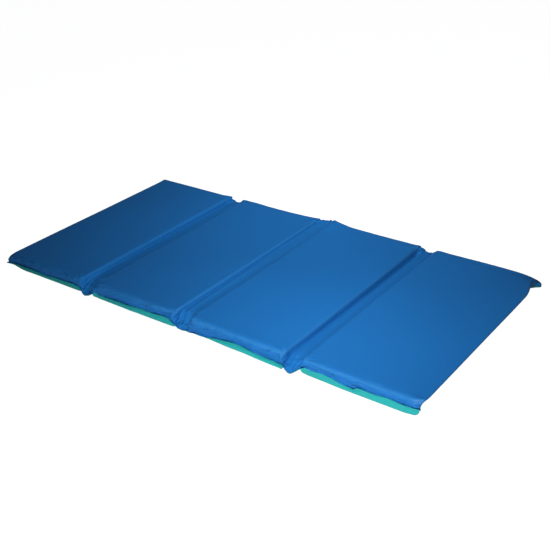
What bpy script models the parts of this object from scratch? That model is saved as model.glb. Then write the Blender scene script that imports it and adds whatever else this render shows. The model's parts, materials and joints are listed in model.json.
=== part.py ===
"""Four-panel folding gym mat: foam slabs in a two-sheet vinyl cover, hinged along three welded webs.

Metres, +Z up. The origin is the centre of the mat's footprint, on the floor.
X runs along the mat, across the folds. Y runs across the mat, along the folds.
Panels and webs are numbered from -X to +X.
"""

import math

import bmesh
import bpy
from mathutils import Vector

# Driving dimensions
MAT_LENGTH = 1.2192
MAT_WIDTH = 0.6096
THICKNESS = 0.0381
PANEL_COUNT = 4
WEB_WIDTH = 0.042  # from bend line to bend line; more than THICKNESS, so that two panels fold flat together
FLANGE_WIDTH = 0.0056  # welded margin outside the foam, on the free sides
SHEET = 0.0006  # one layer of cover vinyl
WELD_GAP = 0.0003  # kept between the two sheets where they are welded
FOAM_GAP = 0.0003  # kept between foam and cover, above and below
FOAM_SLACK = 0.003  # room around the sides of the foam in its pocket

# Shape of a panel's edge
WALL_LEAN = 0.0035  # how far the side of the cover leans in, from seam to top
EDGE_RADIUS = 0.006
FOOT_CORNER = 0.014
FLANGE_CORNER = 0.003
BEND_CLEARANCE = 0.0012  # from a bend line to the sheet on either side of it
LEDGE = 0.0004  # sliver of flat sheet outside the wall along a bend line
FOAM_CORNER = 0.010
FOAM_EDGE = 0.006

CORNER_STEPS = 5
EDGE_STEPS = 3

# Derived sizes
SEAM_Z = THICKNESS / 2
SEAM_FACE = WELD_GAP / 2 + SHEET  # from the seam plane to the outer face of either sheet
PANEL_SPAN = (MAT_LENGTH - (PANEL_COUNT - 1) * WEB_WIDTH - 2 * FLANGE_WIDTH) / PANEL_COUNT
PITCH = PANEL_SPAN + WEB_WIDTH
ROOT_PANEL = 2

BLUE = (0.012, 0.156, 0.445, 1.0)
TEAL = (0.017, 0.376, 0.305, 1.0)
FOAM = (0.86, 0.82, 0.68, 1.0)


def clear_scene():
    for obj in list(bpy.data.objects):
        bpy.data.objects.remove(obj)


def make_material(name, color, roughness):
    material = bpy.data.materials.new(name)
    material.use_nodes = True
    shader = material.node_tree.nodes["Principled BSDF"]
    shader.inputs["Base Color"].default_value = color
    shader.inputs["Roughness"].default_value = roughness
    shader.inputs["Metallic"].default_value = 0.0
    return material


def panel_centre(number):
    """X of a panel's centre."""
    return (number - (PANEL_COUNT + 1) / 2) * PITCH


def bend_line(panel, side):
    """X of the bend line at a panel's -X (side -1) or +X (side 1) end."""
    return panel_centre(panel) + side * PANEL_SPAN / 2


def rounded_rectangle(x_low, x_high, half_width, radius, z):
    """Points of a rounded rectangle, counter-clockwise from above."""
    corners = (
        (x_high - radius, half_width - radius, 0),
        (x_low + radius, half_width - radius, 1),
        (x_low + radius, radius - half_width, 2),
        (x_high - radius, radius - half_width, 3),
    )
    points = []
    for x, y, quarter in corners:
        for step in range(CORNER_STEPS + 1):
            angle = (quarter + step / CORNER_STEPS) * math.pi / 2
            points.append(Vector((x + radius * math.cos(angle), y + radius * math.sin(angle), z)))
    return points


def bridge_rings(mesh, rings):
    """Faces between each ring of points and the next; returns the rings as vertices."""
    rows = [[mesh.verts.new(point) for point in ring] for ring in rings]
    for lower, upper in zip(rows, rows[1:]):
        for i, vert in enumerate(lower):
            after = (i + 1) % len(lower)
            mesh.faces.new((vert, lower[after], upper[after], upper[i]))
    return rows


def add_object(name, mesh, material, parent, at):
    """Links a mesh, modelled in world coordinates, with its origin at the pivot `at`."""
    bmesh.ops.recalc_face_normals(mesh, faces=mesh.faces)
    bmesh.ops.translate(mesh, verts=mesh.verts, vec=-at)
    data = bpy.data.meshes.new(name)
    mesh.to_mesh(data)
    mesh.free()
    data.shade_smooth()
    data.set_sharp_from_angle(angle=math.radians(30))
    data.materials.append(material)
    obj = bpy.data.objects.new(name, data)
    bpy.context.scene.collection.objects.link(obj)
    obj.parent = parent
    return obj


def wall_rings(x_low, x_high, half_width, corner, height, lean, edge):
    """Rings up the side of a pad, from its foot at z = 0 over a rounded edge to its top."""
    rings = [rounded_rectangle(x_low, x_high, half_width, corner, 0)]
    for step in range(EDGE_STEPS + 1):
        angle = step / EDGE_STEPS * math.pi / 2
        inset = lean + edge * (1 - math.cos(angle))
        z = height - edge * (1 - math.sin(angle))
        shape = (x_low + inset, x_high - inset, half_width - inset, max(corner - inset, edge / 2))
        rings.append(rounded_rectangle(*shape, z))
    return rings


def cover_half(number, up, name, material, parent, at):
    """One sheet's share of a panel: welded flange, leaning wall, rounded edge and flat face.

    up is 1 for the sheet above the seam and -1 for the one below it.
    """
    free = {-1: number == 1, 1: number == PANEL_COUNT}
    foot, tip = {}, {}
    for side in (-1, 1):
        line = bend_line(number, side)
        margin = BEND_CLEARANCE + LEDGE
        foot[side] = line if free[side] else line - side * margin
        tip[side] = line + side * FLANGE_WIDTH if free[side] else line - side * BEND_CLEARANCE
    half_width = MAT_WIDTH / 2
    flange = rounded_rectangle(tip[-1], tip[1], half_width, FLANGE_CORNER, 0)
    height = SEAM_Z - SEAM_FACE
    rings = [flange]
    rings += wall_rings(
        foot[-1], foot[1], half_width - FLANGE_WIDTH, FOOT_CORNER, height, WALL_LEAN, EDGE_RADIUS
    )
    mesh = bmesh.new()
    rows = bridge_rings(mesh, rings)
    mesh.faces.new(rows[-1])
    for vert in mesh.verts:
        vert.co.z = SEAM_Z + up * (SEAM_FACE + vert.co.z)
    bmesh.ops.recalc_face_normals(mesh, faces=mesh.faces)
    if mesh.faces[-1].normal.z * up < 0:
        bmesh.ops.reverse_faces(mesh, faces=mesh.faces)
    bmesh.ops.solidify(mesh, geom=mesh.faces[:], thickness=SHEET)
    return add_object(name, mesh, material, parent, at)


def foam_slab(number, material, parent, at):
    """A foam block with softened edges, filling the pocket between the two sheets."""
    skin = SHEET + FOAM_GAP
    inset = BEND_CLEARANCE + LEDGE + WALL_LEAN + SHEET + FOAM_SLACK
    x_low = bend_line(number, -1) + inset
    x_high = bend_line(number, 1) - inset
    half_width = MAT_WIDTH / 2 - FLANGE_WIDTH - inset
    half_height = SEAM_Z - skin
    upper = wall_rings(x_low, x_high, half_width, FOAM_CORNER, half_height, 0, FOAM_EDGE)
    lower = [[Vector((p.x, p.y, -p.z)) for p in ring] for ring in reversed(upper[1:])]
    mesh = bmesh.new()
    rows = bridge_rings(mesh, lower + upper[1:])
    mesh.faces.new(rows[-1])
    mesh.faces.new(list(reversed(rows[0])))
    bmesh.ops.translate(mesh, verts=mesh.verts, vec=(0, 0, SEAM_Z))
    return add_object(f"foam_slab_{number}", mesh, material, parent, at)


def web_layer(number, up, name, material, parent, at):
    """The strip of one sheet between two panels, welded flat to the other sheet."""
    x_low = bend_line(number, 1) + BEND_CLEARANCE
    x_high = bend_line(number + 1, -1) - BEND_CLEARANCE
    z_near = SEAM_Z + up * WELD_GAP / 2
    z_far = z_near + up * SHEET
    outlines = [rounded_rectangle(x_low, x_high, MAT_WIDTH / 2, FLANGE_CORNER, z) for z in (z_near, z_far)]
    mesh = bmesh.new()
    rows = bridge_rings(mesh, outlines)
    mesh.faces.new(rows[-1])
    mesh.faces.new(list(reversed(rows[0])))
    return add_object(name, mesh, material, parent, at)


def add_pivot(name, parent, parent_at, at):
    """An empty on a joint's axis; what it carries turns about it."""
    pivot = bpy.data.objects.new(name, None)
    bpy.context.scene.collection.objects.link(pivot)
    pivot.parent = parent
    pivot.location = at - parent_at
    return pivot


def build_panel(number, materials, pivot, at):
    foam_slab(number, materials["foam"], pivot, at)
    cover_half(number, 1, f"top_cover_{number}", materials["blue"], pivot, at)
    cover_half(number, -1, f"bottom_cover_{number}", materials["teal"], pivot, at)


def build_web(number, materials, pivot, at):
    web_layer(number, 1, f"fold_web_top_{number}", materials["blue"], pivot, at)
    web_layer(number, -1, f"fold_web_bottom_{number}", materials["teal"], pivot, at)


def build_chain(side, root, materials):
    """Webs and panels outwards from the root panel, each hung on the one before it."""
    parent, parent_at, inner = root, Vector((panel_centre(ROOT_PANEL), 0, SEAM_Z)), ROOT_PANEL
    while 1 <= inner + side <= PANEL_COUNT:
        outer = inner + side
        web = min(inner, outer)
        at = Vector((bend_line(inner, side), 0, SEAM_Z))
        web_pivot = add_pivot(f"fold_{web}_inner_pivot", parent, parent_at, at)
        build_web(web, materials, web_pivot, at)
        outer_at = Vector((bend_line(outer, -side), 0, SEAM_Z))
        parent = add_pivot(f"fold_{web}_outer_pivot", web_pivot, at, outer_at)
        build_panel(outer, materials, parent, outer_at)
        parent_at, inner = outer_at, outer


def main():
    clear_scene()
    materials = {
        "blue": make_material("blue_vinyl", BLUE, 0.38),
        "teal": make_material("teal_vinyl", TEAL, 0.42),
        "foam": make_material("foam", FOAM, 0.95),
    }
    root_at = Vector((panel_centre(ROOT_PANEL), 0, SEAM_Z))
    root = add_pivot("mat_root", None, Vector(), root_at)
    build_panel(ROOT_PANEL, materials, root, root_at)
    for side in (-1, 1):
        build_chain(side, root, materials)


main()
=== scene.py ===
import json
import math

import bpy
import numpy as np
from mathutils import Matrix, Vector


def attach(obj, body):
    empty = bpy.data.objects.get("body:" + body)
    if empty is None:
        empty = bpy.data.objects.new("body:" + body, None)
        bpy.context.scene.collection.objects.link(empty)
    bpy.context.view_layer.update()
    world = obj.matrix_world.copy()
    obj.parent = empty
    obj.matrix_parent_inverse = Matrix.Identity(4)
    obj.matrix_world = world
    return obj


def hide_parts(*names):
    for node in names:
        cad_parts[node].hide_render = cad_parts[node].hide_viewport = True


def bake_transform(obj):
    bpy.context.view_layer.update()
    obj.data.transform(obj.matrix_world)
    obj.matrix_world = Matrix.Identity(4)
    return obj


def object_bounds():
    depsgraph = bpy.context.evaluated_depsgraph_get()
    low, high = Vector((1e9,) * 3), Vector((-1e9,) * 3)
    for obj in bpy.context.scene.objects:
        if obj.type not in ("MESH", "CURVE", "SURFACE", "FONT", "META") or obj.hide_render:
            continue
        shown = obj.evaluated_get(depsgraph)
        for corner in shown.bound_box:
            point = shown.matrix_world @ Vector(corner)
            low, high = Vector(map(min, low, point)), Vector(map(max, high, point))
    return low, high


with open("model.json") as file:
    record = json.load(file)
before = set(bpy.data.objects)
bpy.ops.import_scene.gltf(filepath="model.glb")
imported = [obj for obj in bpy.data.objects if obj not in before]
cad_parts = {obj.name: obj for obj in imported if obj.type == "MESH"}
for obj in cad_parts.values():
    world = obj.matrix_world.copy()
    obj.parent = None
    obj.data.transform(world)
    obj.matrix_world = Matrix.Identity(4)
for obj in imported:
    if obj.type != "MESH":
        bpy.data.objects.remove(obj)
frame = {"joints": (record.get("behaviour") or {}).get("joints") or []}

# The mat lies blue side up. Its panels and folds are numbered from -X to +X, as in the frame.
# Each sheet of vinyl is one grid of points over the whole mat, shaped first and cut into pieces last.

BOX_LOW, BOX_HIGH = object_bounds()
PIVOTS = {joint["name"]: joint["pos_m"] for joint in frame["joints"]}
FOLDS = (1, 2, 3)
WEBS = {fold: sorted(PIVOTS[f"fold_{fold}_{end}"][0] for end in ("inner", "outer")) for fold in FOLDS}
SEAM_Z = PIVOTS["fold_1_inner"][2]
TOP_Z = BOX_HIGH.z
HALF_WIDTH = BOX_HIGH.y
FLANGE = 0.0056  # welded margin outside the foam, on the free sides
SHEET = 0.0007  # thickness of the vinyl
WELD_GAP = 0.0003
ABOVE_FLOOR = 0.002  # roughly how low flanges, corners and web ends hang

# Panel outlines along X, from seam to seam
PANELS = (1, 2, 3, 4)
PANEL_LOW = {1: BOX_LOW.x + FLANGE, 2: WEBS[1][1], 3: WEBS[2][1], 4: WEBS[3][1]}
PANEL_HIGH = {1: WEBS[1][0], 2: WEBS[2][0], 3: WEBS[3][0], 4: BOX_HIGH.x - FLANGE}
SEAM_Y = HALF_WIDTH - FLANGE

# Rounded pad edges: how far in the edge reaches, and the power of its superellipse
FOLD_EDGE = (0.010, 2.9)
NEAR_EDGE = (0.010, 3.1)
FAR_EDGE = (0.007, 3.1)
BOTTOM_EDGE = (0.007, 2.6)
BOTTOM_SIDE_EDGE = (0.005, 3.0)
LEFT_END_EDGE = (0.010, 3.1)
RIGHT_END_EDGE = (0.009, 2.6)
EDGE_STEPS = 8
FLANGE_STEPS = 3
WEB_STEPS = 12
SPACING = 0.0065
GRADING = 0.7  # stations crowd towards the edges of each pad

# Near long side, at the left, middle and right of each panel: the height of the weld,
# and how far the teal side hangs out past it
NEAR_WELD = {
    1: (0.014, 0.014, 0.017),
    2: (0.0125, 0.0155, 0.022),
    3: (0.003, 0.0165, 0.008),
    4: (0.021, 0.018, 0.020),
}
NEAR_BELLY = {
    1: (0.005, 0.004, 0.004),
    2: (0.005, 0.007, 0.0065),
    3: (0.000, 0.0075, 0.011),
    4: (0.0015, 0.0050, 0.0050),
}
FAR_BELLY = 0.004
FAR_WELD = 0.018
END_WELD = 0.016  # at both short ends of the mat

# Webs: their heights at the near and far side, and how far round them the sheet rises to meet them
WEB_NEAR_Z = {1: 0.023, 2: 0.028, 3: 0.020}
WEB_FAR_Z = {1: 0.023, 2: 0.033, 3: 0.0215}
WEB_REACH = 0.03
END_REACH = 0.06
SIDE_REACH = 0.035
WEB_TIP_Z = {  # far end of each web: at its left bend line, middle and right bend line
    1: (0.031, 0.025, 0.030),
    2: (0.033, 0.037, 0.041),
    3: (0.032, 0.023, 0.026),
}
END_LEAN = 1.30  # sideways lean of the right-hand end, per unit of height
NEAR_BULGE = 0.0035
FAR_BULGE = 0.0065

# Ends of the webs on the near side: how far they stick out, and how far in they start to drop
TONGUES = {1: (0.013, 0.022), 2: (0.004, 0.013), 3: (0.013, 0.022)}
TONGUE_HALF = 0.034
EARS = {  # outer corners, by their sides of the mat: how far each is drawn out, along the side, and up
    (-1, -1): (0.009, 0.006, 0.000),
    (-1, 1): (0.009, 0.006, 0.000),
    (1, -1): (0.017, 0.002, 0.006),
    (1, 1): (0.013, 0.006, -0.010),
}
SPINE_Z = SEAM_Z - 0.001  # the teal webs of folds 1 and 3, which are outside when the mat is shut
RIDGE_X = -0.011  # a crease in the near half of the middle web
RIDGE_RISE = 0.0025

# The one pleat in the near side of panel 4: the weld hangs low on its left and rides high on its right
PLEAT_X = 0.463
PLEAT_SAG = 0.0040
PLEAT_LIFT = 0.0025
PLEAT_TUCK = 0.0045
CORNER_DROP = 0.014  # how far the near weld drops at the right-hand corner of panel 2

# The blue face
CROWN = 0.0010
MIDDLE_RISE = 0.0016
RIPPLE = 0.0005
CORNER_RISE = {2: 0.0025, 3: 0.0065}  # far left-hand corners of these panels
RIGHT_END_DROP = 0.0035
FAR_RIGHT_DROP = 0.0055

GATHER_HEIGHT = 0.0020
GATHER_REACH = 0.045
DART_DEPTH = 0.009
PLEAT_HEIGHT = 0.002
CORNER_FOLD_HEIGHT = 0.003  # upright ridges beside the folds
CREASE_HEIGHT = 0.0015
EXTRA_WIDTH = 0.003
EAR_SPREAD = 0.014
FLANGE_SHRINK = 0.6  # the flanges curl, so they look shorter than they are


def smooth(t):
    t = np.clip(t, 0, 1)
    return t * t * (3 - 2 * t)


def bell(distance, width):
    return np.exp(-((distance / width) ** 2))


def ease(x, places, values):
    """Values at places, joined by level-ended curves."""
    i = np.clip(np.searchsorted(places, x) - 1, 0, len(places) - 2)
    places, values = np.asarray(places), np.asarray(values)
    t = smooth((x - places[i]) / (places[i + 1] - places[i]))
    return values[i] + (values[i + 1] - values[i]) * t


# ---------------------------------------------------------------- stations along X and Y


def edge_curve(edge):
    """Inset from the seam and share of the full height, along a rounded pad edge."""
    inset, power = edge
    t = np.linspace(0, math.pi / 2, EDGE_STEPS + 1)
    return inset * (1 - np.cos(t) ** (2 / power)), np.sin(t) ** (2 / power)


def pad_stations(low, high, low_edge, high_edge):
    """Places and heights across one pad, from its seam up, over the top and down to the other seam."""
    low_in, low_rise = edge_curve(low_edge)
    high_in, high_rise = edge_curve(high_edge)
    start, stop = low + low_in[-1], high - high_in[-1]
    share = np.linspace(0, 1, round((stop - start) / SPACING) + 1)[1:-1]
    middle = start + (stop - start) * (share - GRADING * np.sin(2 * math.pi * share) / (2 * math.pi))
    place = np.concatenate((low + low_in, middle, (high - high_in)[::-1]))
    rise = np.concatenate((low_rise, np.ones(len(middle)), high_rise[::-1]))
    return place, rise


def with_flanges(place, rise):
    """Adds the welded margin at both ends; out runs from 0 at the seam to 1 at the cut edge."""
    out = np.linspace(1, 0, FLANGE_STEPS + 1)[:-1]
    place = np.concatenate((place[0] - FLANGE * out, place, place[-1] + FLANGE * out[::-1]))
    flat = np.zeros(FLANGE_STEPS)
    rise = np.concatenate((flat, rise, flat))
    return place, rise, np.concatenate((-out, np.zeros(len(rise) - 2 * FLANGE_STEPS), out[::-1]))


def end_edges(panel, fold_edge, left_edge, right_edge):
    """The rounded edges at the low and high end of one panel."""
    return left_edge if panel == 1 else fold_edge, right_edge if panel == 4 else fold_edge


def length_stations(*end_kinds):
    """Stations along the mat, and the column at which each panel begins and ends."""
    places, rises, columns, count = [], [], {}, FLANGE_STEPS
    for panel in PANELS:
        place, rise = pad_stations(PANEL_LOW[panel], PANEL_HIGH[panel], *end_edges(panel, *end_kinds))
        columns[panel] = (count, count + len(place) - 1)
        if panel in WEBS:
            web = np.linspace(*WEBS[panel], WEB_STEPS + 1)[1:-1]
            place, rise = np.concatenate((place, web)), np.concatenate((rise, np.zeros(len(web))))
        places.append(place)
        rises.append(rise)
        count += len(place)
    return *with_flanges(np.concatenate(places), np.concatenate(rises)), columns


def width_stations(near_edge, far_edge):
    return with_flanges(*pad_stations(-SEAM_Y, SEAM_Y, near_edge, far_edge))


# ---------------------------------------------------------------- the mat's shape


def near_side(x, table):
    """Values of one of the near-side tables at x."""
    places, values = [], []
    for panel in PANELS:
        low, high = PANEL_LOW[panel], PANEL_HIGH[panel]
        places += [low, (low + high) / 2, high]
        values += table[panel]
    return ease(x, places, values)


def near_weld(x):
    """Height of the weld along the near side, which sags left of the pleat and beside the middle web."""
    waves = 0.0010 * np.sin(45 * x + 1) + 0.0007 * np.sin(83 * x)
    past_pleat = smooth((x - PLEAT_X) / 0.015)
    sag = PLEAT_SAG * smooth((x - PLEAT_X + 0.095) / 0.06) * (1 - past_pleat)
    lift = PLEAT_LIFT * past_pleat * (1 - smooth((x - PLEAT_X - 0.07) / 0.04))
    corner_drop = CORNER_DROP * bell(x - PANEL_HIGH[2] - 0.003, 0.016)
    notch = 0.002 * bell(x - PLEAT_X, 0.005)
    return near_side(x, NEAR_WELD) + waves + lift - sag - corner_drop - notch


def far_weld(x):
    """Height of the weld along the far side, which climbs at the folds."""
    places, values = [BOX_LOW.x], [FAR_WELD]
    for fold in FOLDS:
        low, high = WEBS[fold]
        places += [low - WEB_REACH, low, (low + high) / 2, high, high + WEB_REACH]
        values += [FAR_WELD, *WEB_TIP_Z[fold], FAR_WELD]
    return ease(x, places + [BOX_HIGH.x], values + [FAR_WELD]) + 0.002 * np.sin(9 * x + 1)


def web_closeness(x, fold, reach):
    """1 over a web, falling to 0 at reach beyond its bend lines."""
    low, high = WEBS[fold]
    return 1 - smooth(np.maximum(low - x, x - high) / reach)


def weld_height(x, y):
    """Height of the weld, or of the sheet that the foam doesn't lift, at any point of the mat."""
    z = np.full(x.shape, SEAM_Z)
    across = smooth((y + HALF_WIDTH) / (2 * HALF_WIDTH))
    for fold in FOLDS:
        web_z = WEB_NEAR_Z[fold] + (WEB_FAR_Z[fold] - WEB_NEAR_Z[fold]) * across
        z += (web_z - z) * web_closeness(x, fold, WEB_REACH)
    z += RIDGE_RISE * bell(x - RIDGE_X, 0.005) * (1 - smooth((y + 0.02) / 0.12))
    z += (END_WELD - z) * (1 - smooth((x - BOX_LOW.x) / END_REACH))
    z += (END_WELD - z) * (1 - smooth((BOX_HIGH.x - x) / END_REACH))
    near = 1 - smooth((y + SEAM_Y) / SIDE_REACH)
    far = 1 - smooth((SEAM_Y - y) / SIDE_REACH)
    z += (near_weld(x) - z) * near
    z += (far_weld(x) - z) * far
    return z


def spine_height(x, y, weld):
    """The weld height for the teal sheet: low in the webs that close round the outside of the pads."""
    inward = smooth((SEAM_Y - np.abs(y)) / 0.020)
    for fold in (1, 3):
        weld = weld + (np.minimum(weld, SPINE_Z) - weld) * web_closeness(x, fold, 0.012) * inward
    return weld


def top_height(x, y):
    """The blue face: crowned pads, raised at the middle fold and at two far corners, lower at the right."""
    z = np.full(x.shape, TOP_Z)
    across = np.cos(np.clip(y / HALF_WIDTH, -1, 1) * math.pi / 2)
    for panel in PANELS:
        low, high = PANEL_LOW[panel], PANEL_HIGH[panel]
        along = np.clip((x - low) / (high - low), 0, 1)
        z += CROWN * np.sin(math.pi * along) * across
    z += MIDDLE_RISE * bell(x, 0.10) + RIPPLE * np.sin(11 * x + 3 * y) * np.cos(8 * y - 2)
    z += CORNER_RISE[3] * bell(x - PANEL_LOW[3] - 0.012, 0.033) * bell(y - HALF_WIDTH, 0.055)
    z += CORNER_RISE[2] * bell(np.hypot(x - PANEL_LOW[2] - 0.04, y - HALF_WIDTH), 0.07)
    z -= RIGHT_END_DROP * bell(x - PANEL_HIGH[4], 0.08) * bell(y - HALF_WIDTH, 0.10)
    return z - FAR_RIGHT_DROP * bell(np.hypot(x - PANEL_HIGH[4], y - HALF_WIDTH), 0.025)


def gathers(x, y):
    """Small folds in the vinyl that fan out from both ends of each web."""
    lift = np.zeros(x.shape)
    for fold in FOLDS:
        for side in (-1, 1):
            along, inward = x - sum(WEBS[fold]) / 2, HALF_WIDTH - side * y
            angle = np.arctan2(along, inward + 0.010)
            away = np.hypot(along, inward)
            fan = np.sin(13 * angle + 1.7 * fold + 0.8 * side) + 0.5 * np.sin(22 * angle + 2.1 * fold)
            lift += GATHER_HEIGHT * fan * smooth(away / 0.015) * bell(away, GATHER_REACH)
    return lift


def dart(x, y):
    """The little dent where the cover is folded over its near right corner."""
    return DART_DEPTH * bell(np.hypot(x - PANEL_HIGH[4] + 0.006, y + HALF_WIDTH - 0.009), 0.0045)


def creases(x):
    """Upright creases along the long sides, 0 to 1."""
    mixed = (np.sin(61 * x + 1.3) + np.sin(97 * x + 0.4) + np.sin(151 * x + 2.2)) / 3
    return np.maximum(mixed, 0) ** 2


def pleats(x):
    """Narrow upright ridges on the near side: one pleat, and the sharp corners beside the folds."""
    lift = PLEAT_HEIGHT * bell(x - PLEAT_X, 0.004)
    for panel in (2, 3):
        lift += CORNER_FOLD_HEIGHT * bell(x - PANEL_HIGH[panel] + 0.0075, 0.003)
    return lift


def tuck(x, rise_y):
    """A long crease in panel 4's near wall, on the left of the pleat, with the weld hanging below it."""
    along = smooth((x - PLEAT_X + 0.105) / 0.03) * (1 - smooth((x - PLEAT_X + 0.012) / 0.012))
    return PLEAT_TUCK * along * bell(rise_y - 0.35, 0.12)


def pad_corner_distances(x, y):
    """Distances to the nearer of the corners at each end of each pad."""
    ends = [(PANEL_LOW[panel], PANEL_HIGH[panel]) for panel in PANELS]
    return [np.hypot(x - corner_x, SEAM_Y - np.abs(y)) for pair in ends for corner_x in pair]


def corner_softness(x, y):
    """Below 1 near the corners of the pads, where the foam doesn't fill the cover."""
    keep = np.ones(x.shape)
    for away in pad_corner_distances(x, y):
        keep *= 1 - np.where(y < 0, 0.20, 0.10) * bell(away, 0.011)
    return keep


def left_corner_lift(x, y):
    """Below 1 at the left-hand corners, where the teal sheet is drawn up off the floor."""
    keep = np.ones(x.shape)
    for side in (-1, 1):
        keep *= 1 - 0.8 * bell(np.hypot(x - PANEL_LOW[1], y - side * HALF_WIDTH), 0.030)
    return keep


def tongue(points):
    """Draws the near ends of the webs out over the side and down to the floor."""
    x, y, z = points
    for fold, (stick_out, run) in TONGUES.items():
        middle = sum(WEBS[fold]) / 2
        across = np.cos(np.clip((x - middle) / TONGUE_HALF, -1, 1) * math.pi / 2) ** 2
        reach = smooth((-y - HALF_WIDTH + run) / run) * across
        y -= stick_out * reach
        z += (ABOVE_FLOOR + 0.0002 - z) * reach ** 1.3


def widen(y):
    """The far side lies a little further out than the frame has it."""
    y += EXTRA_WIDTH * smooth((y - 0.20) / 0.10)


def ears(points):
    """Pulls the four outer corners of the weld out to points."""
    x, y, z = points
    for (end, side), (out, along, up) in EARS.items():
        pull = bell(np.hypot(x - end * BOX_HIGH.x, y - side * HALF_WIDTH), EAR_SPREAD)
        x += end * out * pull
        y += side * along * pull
        z += np.maximum(up, ABOVE_FLOOR + 0.001 - z) * pull


def lean(points):
    """The right-hand end leans out over the floor, so that its weld is tucked in underneath."""
    x, y, z = points
    nearness = smooth((x - BOX_HIGH.x + 0.075) / 0.07)
    over, under = np.maximum(z - SEAM_Z, 0), np.minimum(z - SEAM_Z, 0)
    near_corner = bell(y + HALF_WIDTH, 0.014)
    far_over = smooth((y - HALF_WIDTH + 0.110) / 0.110)
    far_under = 0.8 * bell(y - HALF_WIDTH, 0.014)
    shift = over * (1 - near_corner - far_over) + under * (1 - near_corner - far_under)
    x += END_LEAN * nearness * shift


def belly(x, y, inset):
    """How far the teal side hangs out past the weld, fading away underneath the mat."""
    out = np.where(y < 0, near_side(x, NEAR_BELLY), FAR_BELLY)
    return out * (1 - smooth((inset - 0.010) / 0.050))


def hang(x):
    """Which way the near and far flanges point, from 0 for straight out to 1 for straight down."""
    sagging = 0.75 * bell(x - PLEAT_X + 0.063, 0.045) + 0.4 * bell(x + 0.30, 0.05)
    return np.clip(0.25 + sagging + 0.15 * np.sin(37 * x), 0, 1)


def bend_flanges(x, y, z, out_x, out_y):
    """Shortens the flat flanges and turns them down; those of the right-hand end hang straight down."""
    length = FLANGE_SHRINK * FLANGE
    side_turn = hang(x) * math.pi / 2
    end_turn = np.where(out_x > 0, 1.0, 0.3) * math.pi / 2
    y += out_y * (length * np.cos(side_turn) - FLANGE)
    x += out_x * (length * np.cos(end_turn) - FLANGE)
    drop = length * np.maximum(np.abs(out_y) * np.sin(side_turn), np.abs(out_x) * np.sin(end_turn))
    z -= np.minimum(drop, np.maximum(z - ABOVE_FLOOR, 0))


def side_bulge(up, x, y, rise_y):
    """How far the walls of the long sides stand out past the weld."""
    if up < 0:
        return belly(x, y, SEAM_Y - np.abs(y)) * smooth(rise_y / 0.6)
    bulge = np.where(y < 0, NEAR_BULGE + CREASE_HEIGHT * creases(x) + pleats(x), FAR_BULGE)
    return bulge * np.sin(math.pi * rise_y) - np.where(y < 0, tuck(x, rise_y), 0)


def shape_sheet(up, length, width):
    """Points of one sheet's outer face: up is 1 for the blue sheet and -1 for the teal one."""
    place_x, rise_x, out_x = length
    place_y, rise_y, out_y = width
    x, y = np.meshgrid(place_x, place_y, indexing="ij")
    rise = np.outer(rise_x, rise_y) * corner_softness(x, y)
    weld = weld_height(x, y)
    face = top_height(x, y) if up > 0 else np.zeros(x.shape)
    if up < 0:
        rise *= left_corner_lift(x, y)
        weld = spine_height(x, y, weld)
    z = weld + (face - weld) * rise
    if up > 0:
        z += gathers(x, y) * (1 - 0.4 * rise) - dart(x, y)
    else:
        z += (gathers(x, y) - dart(x, y)) * (1 - rise)
    y += np.sign(y) * side_bulge(up, x, y, rise_y) * rise_x[:, None]
    out_x, out_y = np.meshgrid(out_x, out_y, indexing="ij")
    bend_flanges(x, y, z, out_x, out_y)
    widen(y)
    points = [x, y, z]
    lean(points)
    ears(points)
    tongue(points)
    points[2] += up * (SHEET + WELD_GAP / 2) * (1 - rise)
    return np.stack(points, axis=-1), rise


# ---------------------------------------------------------------- cloth


def grid_faces(columns, rows, offset=0):
    i, j = np.meshgrid(np.arange(columns - 1), np.arange(rows - 1), indexing="ij")
    a = (i * rows + j).ravel() + offset
    return np.stack((a, a + rows, a + rows + 1, a + 1), axis=-1)


def grid_object(name, points):
    mesh = bpy.data.meshes.new(name)
    mesh.from_pydata(points.reshape(-1, 3).tolist(), [], grid_faces(*points.shape[:2]).tolist())
    obj = bpy.data.objects.new(name, mesh)
    bpy.context.scene.collection.objects.link(obj)
    return obj


def add_weights(obj, name, weights):
    group = obj.vertex_groups.new(name=name)
    for index, weight in enumerate(weights.ravel().tolist()):
        if weight > 0:
            group.add([index], weight, "REPLACE")


CLOTH_FRAMES = 14
CLOTH_CAP = 0.003  # the furthest that a point may move
CLOTH_TOP = TOP_Z - 0.004  # nothing is lifted above this, so the blue faces stay apart when the mat is shut
CLOTH_PRESSURE = 0.02
EXTRA_VINYL = 0.15  # where the sheet has slack


def add_cloth(obj, pressure):
    """A light, easily bent sheet, with the groups named held and slack."""
    modifier = obj.modifiers.new("Cloth", "CLOTH")
    cloth = modifier.settings
    cloth.quality = 5
    cloth.mass = 0.05
    cloth.tension_stiffness = 15
    cloth.compression_stiffness = 15
    cloth.shear_stiffness = 3
    cloth.bending_stiffness = 0.01
    cloth.air_damping = 1
    cloth.vertex_group_mass = "held"
    cloth.vertex_group_shrink = "slack"
    cloth.shrink_min = 0
    cloth.shrink_max = -EXTRA_VINYL
    cloth.use_pressure = True
    cloth.uniform_pressure_force = pressure
    cloth.effector_weights.gravity = 0
    modifier.collision_settings.use_collision = False
    modifier.point_cache.frame_start = 1
    modifier.point_cache.frame_end = CLOTH_FRAMES


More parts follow.
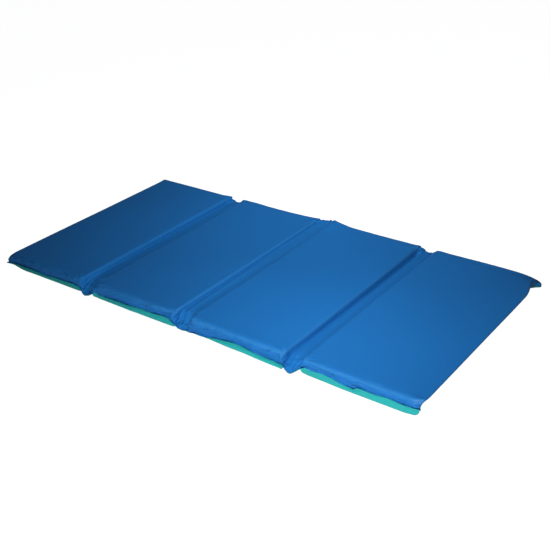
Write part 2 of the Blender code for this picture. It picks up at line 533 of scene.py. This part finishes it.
def relax(points, held, slack, pressure):
    """Points after the sheet has settled as cloth, with more vinyl than it needs where it has slack."""
    scene = bpy.context.scene
    obj = grid_object("cloth_work", points)
    add_weights(obj, "held", held)
    add_weights(obj, "slack", slack)
    add_cloth(obj, pressure)
    for step in range(1, CLOTH_FRAMES + 1):
        scene.frame_set(step)
    settled = obj.evaluated_get(bpy.context.evaluated_depsgraph_get()).to_mesh()
    moved = np.zeros(len(settled.vertices) * 3)
    settled.vertices.foreach_get("co", moved)
    shift = moved.reshape(points.shape) - points
    length = np.linalg.norm(shift, axis=-1, keepdims=True)
    shift *= np.minimum(1, CLOTH_CAP / np.maximum(length, 1e-9))
    bpy.data.objects.remove(obj)
    scene.frame_set(1)
    return points + shift


def cloth_weights(points, rise):
    """Held where the sheet is welded or lies flat on the foam, slack round the ends of the folds."""
    x, y = points[..., 0], points[..., 1]
    inside = SEAM_Y - np.abs(y)
    for panel in PANELS:
        over = (x >= PANEL_LOW[panel]) & (x <= PANEL_HIGH[panel])
        gap = np.minimum(x - PANEL_LOW[panel], PANEL_HIGH[panel] - x)
        inside = np.where(over, np.minimum(inside, gap), inside)
    flat = smooth((inside - 0.016) / 0.03)
    end = bell(np.minimum.reduce(pad_corner_distances(x, y)), GATHER_REACH)
    held = np.clip(np.where(rise < 1e-6, 1, flat) - 1.5 * end, 0, 1)
    return held, end * (1 - 0.5 * flat)


# ---------------------------------------------------------------- pieces


def grid_normals(points):
    normals = np.cross(np.gradient(points, axis=0), np.gradient(points, axis=1))
    return normals / np.maximum(np.linalg.norm(normals, axis=-1, keepdims=True), 1e-12)


def rim_faces(outer, inner):
    """Faces round a cut edge, between matching rows of outer and inner point numbers."""
    return np.stack((outer[:-1], inner[:-1], inner[1:], outer[1:]), axis=-1)


def double_grid_faces(columns, rows, low_end, high_end):
    """Faces of two grids back to back, joined along the sides, and along the ends that are asked for."""
    count = columns * rows
    number = np.arange(count).reshape(columns, rows)
    lines = [number[:, 0], number[::-1, -1]]
    lines += [number[0, ::-1]] * low_end + [number[-1]] * high_end
    faces = [grid_faces(columns, rows), grid_faces(columns, rows, count)[:, ::-1]]
    return np.concatenate(faces + [rim_faces(line, line + count) for line in lines])


def smooth_object(name, outer, inner, faces, material):
    mesh = bpy.data.meshes.new(name)
    vertices = np.concatenate((outer.reshape(-1, 3), inner.reshape(-1, 3)))
    mesh.from_pydata(vertices.tolist(), [], faces.tolist())
    mesh.shade_smooth()
    mesh.materials.append(material)
    obj = bpy.data.objects.new(name, mesh)
    bpy.context.scene.collection.objects.link(obj)
    return obj


def sheet_piece(name, sheet, first, last, material):
    """Columns first to last of a sheet, given its thickness and closed along its real edges."""
    points, normals, up = sheet["points"], sheet["normals"], sheet["up"]
    outer = points[first:last + 1]
    normal = normals[first:last + 1]
    faces = double_grid_faces(*outer.shape[:2], first == 0, last == len(points) - 1)
    faces = faces if up > 0 else faces[:, ::-1]
    obj = smooth_object(name, outer, outer - up * SHEET * normal, faces, material)
    mesh = obj.data
    facing = up * normal.reshape(-1, 3)
    mesh.normals_split_custom_set_from_vertices(np.concatenate((facing, -facing)).tolist())
    # edge holds the painted highlight, crinkle the strength of the crinkle bump
    for label in ("edge", "crinkle"):
        values = sheet[label][first:last + 1].ravel()
        attribute = mesh.attributes.new(label, "FLOAT", "POINT")
        attribute.data.foreach_set("value", np.concatenate((values, values)).astype(np.float32))
    return obj


def painted_edge_highlight(x, rise):
    """Painted highlight, 0 to 1: along the rounded edges of the pads, and more towards the right, where the
    light falls.
    """
    return bell(rise - 0.84, 0.08) * (0.25 + 0.75 * smooth((x + 0.40) / 0.40))


def make_sheet(up, edges, pressure):
    """One whole sheet: its points, normals and painted edge highlight, and the columns where its panels
    begin and end.
    """
    *length, columns = length_stations(*edges[:3])
    width = width_stations(*edges[3:])
    shaped, rise = shape_sheet(up, length, width)
    held, slack = cloth_weights(shaped, rise)
    points = relax(shaped, held, slack, pressure)
    ceiling = np.maximum(shaped[..., 2], CLOTH_TOP)
    points[..., 2] = np.clip(points[..., 2], 0, ceiling)
    x, y = points[..., 0], points[..., 1]
    return {
        "points": points,
        "normals": grid_normals(points),
        "up": up,
        "columns": columns,
        # Painted highlight along the rounded edges, stronger towards the right, where the light falls
        "edge": painted_edge_highlight(x, rise),
        "crinkle": crinkle(x, y, rise) * (1.0 if up > 0 else 0.3),
    }


def crinkle(x, y, rise):
    """How loose and crinkled the vinyl is, 0 to 1: most on the long sides and at the ends of the folds."""
    side = smooth((np.abs(y) - HALF_WIDTH + 0.035) / 0.030)
    ends = np.zeros(x.shape)
    for fold in FOLDS:
        away = np.hypot(x - sum(WEBS[fold]) / 2, HALF_WIDTH - np.abs(y))
        ends = np.maximum(ends, 0.6 * bell(away, GATHER_REACH))
    return np.clip(np.maximum(side * (1 - rise ** 6) * 1.2, ends), 0, 1)


CUT_COLUMNS = 2  # a panel's rigid piece ends this many columns inside its bend line


def finish_piece(cad_node):
    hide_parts(cad_node)


def cut_panels(sheet, colour, node_word, material):
    """The parts of a sheet that ride on the panels."""
    for panel in PANELS:
        first, last = sheet["columns"][panel]
        first = 0 if panel == 1 else first + CUT_COLUMNS
        last = len(sheet["points"]) - 1 if panel == 4 else last - CUT_COLUMNS
        piece = sheet_piece(f"{colour}_cover_{panel}", sheet, first, last, material)
        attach(piece, f"panel_{panel}")
        finish_piece(f"{node_word}_cover_{panel}")


def bend_web(piece):
    """Bakes a web half's transform into its mesh; the half is not bent."""
    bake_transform(piece)


def cut_webs(sheet, colour, node_word, material):
    """The parts of a sheet between the panels, each cut into two halves."""
    columns, place_x = sheet["columns"], sheet["points"][..., 0]
    for fold in FOLDS:
        begin, end = columns[fold][1] - CUT_COLUMNS, columns[fold + 1][0] + CUT_COLUMNS
        middle = (begin + end) // 2
        low, high = WEBS[fold]
        halves = (
            ("left", begin, middle, low, place_x[begin].max(), (f"panel_{fold}", f"web_{fold}")),
            ("right", middle, end, high, place_x[end].min(), (f"web_{fold}", f"panel_{fold + 1}")),
        )
        for side, first, last, bend_x, wall_x, bodies in halves:
            piece = sheet_piece(f"{colour}_web_{fold}_{side}", sheet, first, last, material)
            bend_web(piece)
            finish_piece(f"fold_web_{node_word}_{fold}")


FOAM_ROOM = 0.004  # between the foam and its cover, at the sides
FOAM_TOP_ROOM = 0.0042
FOAM_FLOOR = 0.0030
FOAM_RIM = 0.0002  # keeps the foam's thin edge from closing up


def foam_piece(panel, material):
    """A foam slab that follows the inside of its cover with a little room to spare."""
    low, high = PANEL_LOW[panel], PANEL_HIGH[panel]
    edges = end_edges(panel, FOLD_EDGE, LEFT_END_EDGE, RIGHT_END_EDGE)
    place_x, rise_x = pad_stations(low, high, *edges)
    place_y, rise_y = pad_stations(-SEAM_Y, SEAM_Y, NEAR_EDGE, NEAR_EDGE)
    x, y = np.meshgrid(place_x, place_y, indexing="ij")
    rise = np.outer(rise_x, rise_y) * corner_softness(x, y)
    weld = weld_height(x, y)
    upper_z = weld + (np.minimum(top_height(x, y), TOP_Z + CROWN) - FOAM_TOP_ROOM - weld) * rise
    lower_z = weld + (FOAM_FLOOR - weld) * rise * left_corner_lift(x, y)
    middle_x = (low + high) / 2
    x = middle_x + (x - middle_x) * (1 - 2 * FOAM_ROOM / (high - low))
    y = y * (1 - FOAM_ROOM / SEAM_Y)
    widen(y)
    upper = [x.copy(), y, upper_z]
    lower = [x.copy(), y, lower_z]
    lean(upper)
    lean(lower)
    upper_z[(0, -1), :] += FOAM_RIM
    upper_z[:, (0, -1)] += FOAM_RIM
    faces = double_grid_faces(*x.shape, True, True)
    upper, lower = np.stack(upper, axis=-1), np.stack(lower, axis=-1)
    obj = smooth_object(f"foam_core_{panel}", upper, lower, faces, material)
    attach(obj, f"panel_{panel}")
    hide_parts(f"foam_slab_{panel}")


# ---------------------------------------------------------------- materials


def node(tree, kind, inputs=None, **settings):
    made = tree.nodes.new(kind)
    for key, value in settings.items():
        setattr(made, key, value)
    for key, value in (inputs or {}).items():
        made.inputs[key].default_value = value
    return made


def new_material(name):
    material = bpy.data.materials.new(name)
    material.use_nodes = True
    tree = material.node_tree
    return material, tree, tree.nodes["Principled BSDF"]


CRINKLE_SCALE = (30.0, 45.0, 85.0)  # the crinkles run along the mat
CRINKLE_DEPTH = 0.012


def vinyl_colour(tree, broad, colour, highlight_colour):
    """Uneven colour, with a painted highlight mixed in where the edge attribute says."""
    link = tree.links.new
    tint = node(tree, "ShaderNodeMix", data_type="RGBA")
    tint.inputs["A"].default_value = (*[c * 0.93 for c in colour], 1)
    tint.inputs["B"].default_value = (*[c * 1.07 for c in colour], 1)
    link(broad, tint.inputs["Factor"])
    # The edge attribute mixes a painted highlight into the colour along the rounded edges
    edge = node(tree, "ShaderNodeAttribute", attribute_name="edge")
    amount = node(tree, "ShaderNodeMath", {1: 0.35}, operation="MULTIPLY")
    link(edge.outputs["Fac"], amount.inputs[0])
    highlighted = node(tree, "ShaderNodeMix", data_type="RGBA")
    highlighted.inputs["B"].default_value = (*highlight_colour, 1)
    link(amount.outputs[0], highlighted.inputs["Factor"])
    link(tint.outputs["Result"], highlighted.inputs["A"])
    return highlighted.outputs["Result"]


def vinyl_crinkles(tree, coords):
    """Long shallow crinkles, as strong as the crinkle attribute says."""
    link = tree.links.new
    stretched = node(tree, "ShaderNodeMapping", {"Scale": CRINKLE_SCALE})
    link(coords, stretched.inputs["Vector"])
    folds = node(tree, "ShaderNodeTexNoise", {"Scale": 1.0, "Detail": 2.0, "Roughness": 0.5})
    link(stretched.outputs["Vector"], folds.inputs["Vector"])
    loose = node(tree, "ShaderNodeAttribute", attribute_name="crinkle")
    bump = node(tree, "ShaderNodeBump", {"Distance": CRINKLE_DEPTH})
    link(folds.outputs["Fac"], bump.inputs["Height"])
    link(loose.outputs["Fac"], bump.inputs["Strength"])
    return bump.outputs["Normal"]


def bump_on(tree, normal, height, strength, distance):
    bump = node(tree, "ShaderNodeBump", {"Strength": strength, "Distance": distance})
    tree.links.new(height, bump.inputs["Height"])
    tree.links.new(normal, bump.inputs["Normal"])
    return bump.outputs["Normal"]


def vinyl(name, colour, highlight_colour, roughness):
    """PVC-coated cloth: fine leather-like grain, faint weave, uneven sheen, and a painted highlight along
    its edges.
    """
    material, tree, shader = new_material(name)
    link = tree.links.new
    coords = node(tree, "ShaderNodeTexCoord").outputs["Object"]
    broad = node(tree, "ShaderNodeTexNoise", {"Scale": 5.0, "Detail": 3.0, "Roughness": 0.5})
    grain = node(tree, "ShaderNodeTexVoronoi", {"Scale": 900.0}, feature="SMOOTH_F1")
    weave = node(tree, "ShaderNodeTexNoise", {"Scale": 420.0, "Detail": 2.0})
    for texture in (broad, grain, weave):
        link(coords, texture.inputs["Vector"])
    link(vinyl_colour(tree, broad.outputs["Fac"], colour, highlight_colour), shader.inputs["Base Color"])
    shine = node(tree, "ShaderNodeMapRange", {"To Min": roughness - 0.07, "To Max": roughness + 0.09})
    link(broad.outputs["Fac"], shine.inputs["Value"])
    link(shine.outputs["Result"], shader.inputs["Roughness"])
    normal = vinyl_crinkles(tree, coords)
    normal = bump_on(tree, normal, grain.outputs["Distance"], 0.25, 0.0002)
    normal = bump_on(tree, normal, weave.outputs["Fac"], 0.2, 0.0004)
    link(normal, shader.inputs["Normal"])
    shader.inputs["Specular IOR Level"].default_value = 0.2
    return material


def foam_material():
    """Cream foam with small open cells."""
    material, tree, shader = new_material("foam")
    link = tree.links.new
    coords = node(tree, "ShaderNodeTexCoord").outputs["Object"]
    cells = node(tree, "ShaderNodeTexVoronoi", {"Scale": 600.0})
    link(coords, cells.inputs["Vector"])
    ramp = node(tree, "ShaderNodeValToRGB")
    ramp.color_ramp.elements[0].color = (0.62, 0.57, 0.42, 1)
    ramp.color_ramp.elements[1].color = (0.86, 0.82, 0.68, 1)
    link(cells.outputs["Distance"], ramp.inputs["Fac"])
    link(ramp.outputs["Color"], shader.inputs["Base Color"])
    bump = node(tree, "ShaderNodeBump", {"Strength": 0.5, "Distance": 0.0005})
    link(cells.outputs["Distance"], bump.inputs["Height"])
    link(bump.outputs["Normal"], shader.inputs["Normal"])
    shader.inputs["Roughness"].default_value = 0.95
    return material


def floor_material():
    """A white sweep that stays pale at any distance from the lamps, and throws little of it on the mat."""
    material, tree, shader = new_material("floor")
    path = node(tree, "ShaderNodeLightPath")
    glow = node(tree, "ShaderNodeMapRange", {"To Min": 0.10, "To Max": 0.97})
    tree.links.new(path.outputs["Is Camera Ray"], glow.inputs["Value"])
    tree.links.new(glow.outputs["Result"], shader.inputs["Emission Strength"])
    shader.inputs["Emission Color"].default_value = (1, 1, 1, 1)
    shader.inputs["Base Color"].default_value = (0.25, 0.25, 0.25, 1)
    shader.inputs["Roughness"].default_value = 1.0
    shader.inputs["Specular IOR Level"].default_value = 0.0
    return material


# ---------------------------------------------------------------- stage


FLOOR_REACH = 12
FLOOR_Z = -0.0004  # just under the mat


def make_floor():
    mesh = bpy.data.meshes.new("floor")
    corners = [(-1, -1), (1, -1), (1, 1), (-1, 1)]
    mesh.from_pydata([(x * FLOOR_REACH, y * FLOOR_REACH, FLOOR_Z) for x, y in corners], [], [(0, 1, 2, 3)])
    mesh.materials.append(floor_material())
    floor = bpy.data.objects.new("floor", mesh)
    bpy.context.scene.collection.objects.link(floor)


def lamp(name, at, watts, radius, kind="POINT"):
    data = bpy.data.lights.new(name, kind)
    data.energy = watts
    data.shadow_soft_size = radius
    obj = bpy.data.objects.new(name, data)
    obj.location = at
    obj.visible_camera = False
    bpy.context.scene.collection.objects.link(obj)
    return obj


def studio_world():
    """A dim, slightly blue fill that the camera itself sees as white, like the floor."""
    world = bpy.data.worlds.new("studio")
    world.use_nodes = True
    tree = world.node_tree
    path = node(tree, "ShaderNodeLightPath")
    tone = node(tree, "ShaderNodeMix", data_type="RGBA")
    tone.inputs["A"].default_value = (0.85, 0.92, 1.0, 1)
    tone.inputs["B"].default_value = (1, 1, 1, 1)
    strength = node(tree, "ShaderNodeMapRange", {"To Min": 0.07, "To Max": 0.97})
    tree.links.new(path.outputs["Is Camera Ray"], tone.inputs["Factor"])
    tree.links.new(path.outputs["Is Camera Ray"], strength.inputs["Value"])
    background = tree.nodes["Background"]
    tree.links.new(tone.outputs["Result"], background.inputs["Color"])
    tree.links.new(strength.outputs["Result"], background.inputs["Strength"])
    return world


def make_lights():
    """Three soft lamps close to the mat, and a large one that lights it from its near right corner."""
    lamp("near_lamp", (0.33, -0.25, 0.50), 7.1, 0.12).visible_glossy = False
    lamp("far_lamp", (-0.11, 0.42, 0.67), 11.0, 0.12).visible_glossy = False
    lamp("low_lamp", (0.03, -0.95, 0.07), 9.0, 0.10).visible_glossy = False
    front = lamp("front_lamp", (1.03, -1.54, 0.39), 90.0, 0.25, "SPOT")
    front.data.spot_size = math.radians(64)
    front.data.spot_blend = 1.0
    front.rotation_euler = (Vector((0.50, -0.15, 0)) - front.location).to_track_quat("-Z", "Y").to_euler()
    bpy.context.scene.world = studio_world()
    bpy.context.scene.view_settings.view_transform = "Standard"


CAMERA_TARGET = Vector((0.0232, 0.0288, 0))
CAMERA_DISTANCE = 2.3266
CAMERA_AZIMUTH = math.radians(-37.68)
CAMERA_ELEVATION = math.radians(28.01)
CAMERA_ROLL = math.radians(-2.79)
CAMERA_LENS = 59.8


def make_camera():
    data = bpy.data.cameras.new("camera")
    data.lens = CAMERA_LENS
    data.sensor_width = 36
    data.clip_end = 50
    camera = bpy.data.objects.new("camera", data)
    bpy.context.scene.collection.objects.link(camera)
    level = math.cos(CAMERA_ELEVATION)
    forward = Vector((
        level * math.sin(CAMERA_AZIMUTH), level * math.cos(CAMERA_AZIMUTH), -math.sin(CAMERA_ELEVATION),
    ))
    aim = forward.to_track_quat("-Z", "Y").to_matrix() @ Matrix.Rotation(CAMERA_ROLL, 3, "Z")
    camera.matrix_world = Matrix.Translation(CAMERA_TARGET - CAMERA_DISTANCE * forward) @ aim.to_4x4()
    bpy.context.scene.camera = camera


# ---------------------------------------------------------------- build


BLUE = (0.012, 0.142, 0.430)
# Painted highlight colour, mixed into the blue sheet along its rounded edges
BLUE_HIGHLIGHT = (0.050, 0.220, 0.430)
TEAL = (0.020, 0.335, 0.335)
# Painted highlight colour, mixed into the teal sheet along its rounded edges
TEAL_HIGHLIGHT = (0.060, 0.500, 0.440)

# Rounded edges of each sheet: at the folds, left end, right end, near side and far side
BLUE_EDGES = (FOLD_EDGE, LEFT_END_EDGE, RIGHT_END_EDGE, NEAR_EDGE, FAR_EDGE)
TEAL_EDGES = (BOTTOM_EDGE, BOTTOM_EDGE, BOTTOM_EDGE, BOTTOM_SIDE_EDGE, BOTTOM_SIDE_EDGE)


def build_cover(up, edges, colour, node_word, material):
    sheet = make_sheet(up, edges, up * CLOTH_PRESSURE)
    cut_panels(sheet, colour, node_word, material)
    cut_webs(sheet, colour, node_word, material)


build_cover(1, BLUE_EDGES, "blue", "top", vinyl("blue_vinyl", BLUE, BLUE_HIGHLIGHT, 0.45))
build_cover(-1, TEAL_EDGES, "teal", "bottom", vinyl("teal_vinyl", TEAL, TEAL_HIGHLIGHT, 0.48))
foam = foam_material()
for panel in PANELS:
    foam_piece(panel, foam)

make_floor()
make_lights()
make_camera()
